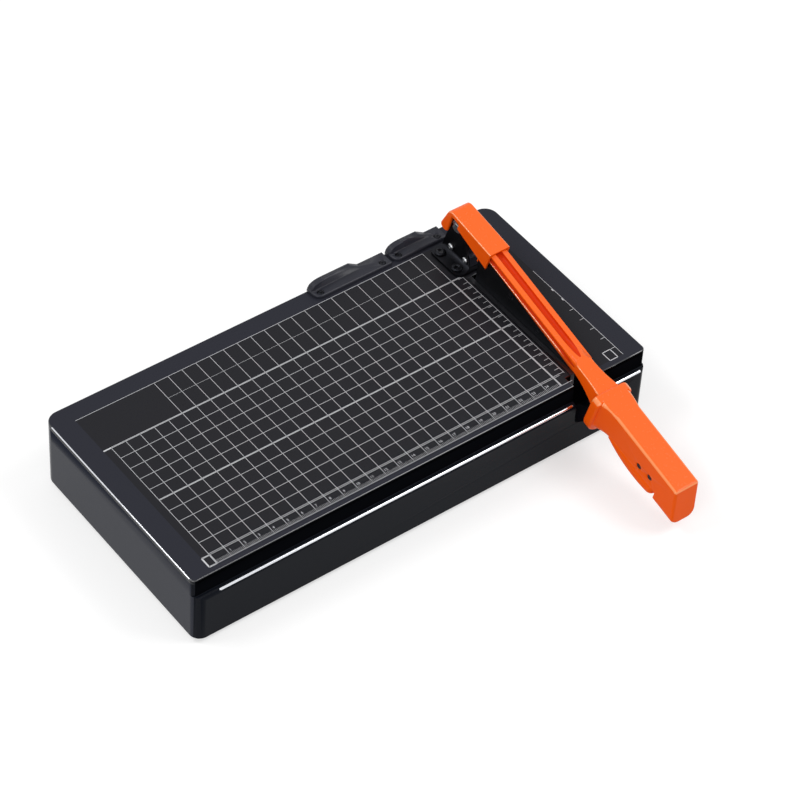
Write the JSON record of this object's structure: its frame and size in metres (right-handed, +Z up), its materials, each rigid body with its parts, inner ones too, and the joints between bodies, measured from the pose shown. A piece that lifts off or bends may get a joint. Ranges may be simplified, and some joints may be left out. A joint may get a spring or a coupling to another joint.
{
  "type": "paper cutter",
  "caption": "Small desktop paper guillotine: a gridded table on a deep hollow base, low paper stops along the rear edge, and a hinged arm with guard and handle that carries the blade.",
  "frame": {"origin": "on the desk under the middle of the whole cutter's outline with the arm closed", "axes": "+X along the table towards the blade, +Y away from the user towards the hinge, +Z up"},
  "size_m": [0.332, 0.2488, 0.0897],
  "materials": {
    "black_plastic": "satin",
    "printed_table": "fine texture with a pale printed grid",
    "orange_plastic": "semi-gloss",
    "ground_steel": "ground",
    "dark_steel": "blackened",
    "plated_steel": "zinc plated",
    "bronze": "sintered",
    "nylon": "natural",
    "rubber": "moulded"
  },
  "bodies": {
    "base": {"base_shell": "black_plastic", "table_plate": "printed_table", "fixed_blade": "ground_steel", "fixed_blade_screw_1": "plated_steel", "fixed_blade_screw_2": "plated_steel", "fixed_blade_screw_3": "plated_steel", "fixed_blade_screw_4": "plated_steel", "left_paper_stop": "black_plastic", "right_paper_stop": "black_plastic", "paper_stop_screw_1": "dark_steel", "paper_stop_screw_2": "dark_steel", "paper_stop_screw_3": "dark_steel", "paper_stop_screw_4": "dark_steel", "bottom_cover": "black_plastic", "bottom_cover_screw_1": "plated_steel", "bottom_cover_screw_2": "plated_steel", "bottom_cover_screw_3": "plated_steel", "bottom_cover_screw_4": "plated_steel", "bottom_cover_screw_5": "plated_steel", "bottom_cover_screw_6": "plated_steel", "rubber_foot_1": "rubber", "rubber_foot_2": "rubber", "rubber_foot_3": "rubber", "rubber_foot_4": "rubber", "stop_buffer": "rubber", "hinge_bracket": "dark_steel", "hinge_bracket_screw_1": "dark_steel", "hinge_bracket_screw_2": "dark_steel", "hinge_bracket_screw_3": "dark_steel", "hinge_bracket_screw_4": "dark_steel", "hinge_block": "black_plastic", "hinge_block_screw_1": "plated_steel", "hinge_block_screw_2": "plated_steel", "hinge_pin": "plated_steel", "pin_clip": "plated_steel", "spring_washer": "plated_steel", "left_thrust_washer": "nylon", "right_thrust_washer": "nylon"},
    "arm": {"blade_arm": "orange_plastic", "hinge_bush": "bronze", "hinge_cover": "orange_plastic", "hinge_cover_screw_1": "dark_steel", "hinge_cover_screw_2": "dark_steel", "moving_blade": "dark_steel", "moving_blade_screw_1": "dark_steel", "moving_blade_screw_2": "dark_steel", "moving_blade_screw_3": "dark_steel", "moving_blade_screw_4": "dark_steel", "handle_grip": "orange_plastic", "handle_screw_1": "dark_steel", "handle_screw_2": "dark_steel"}
  },
  "joints": [
    {"name": "arm_hinge", "type": "hinge", "parent": "base", "child": "arm", "pos_m": [0.123, 0.09639, 0.079], "axis": [-1, 0, 0], "range_deg": [0, 62]}
  ]
}
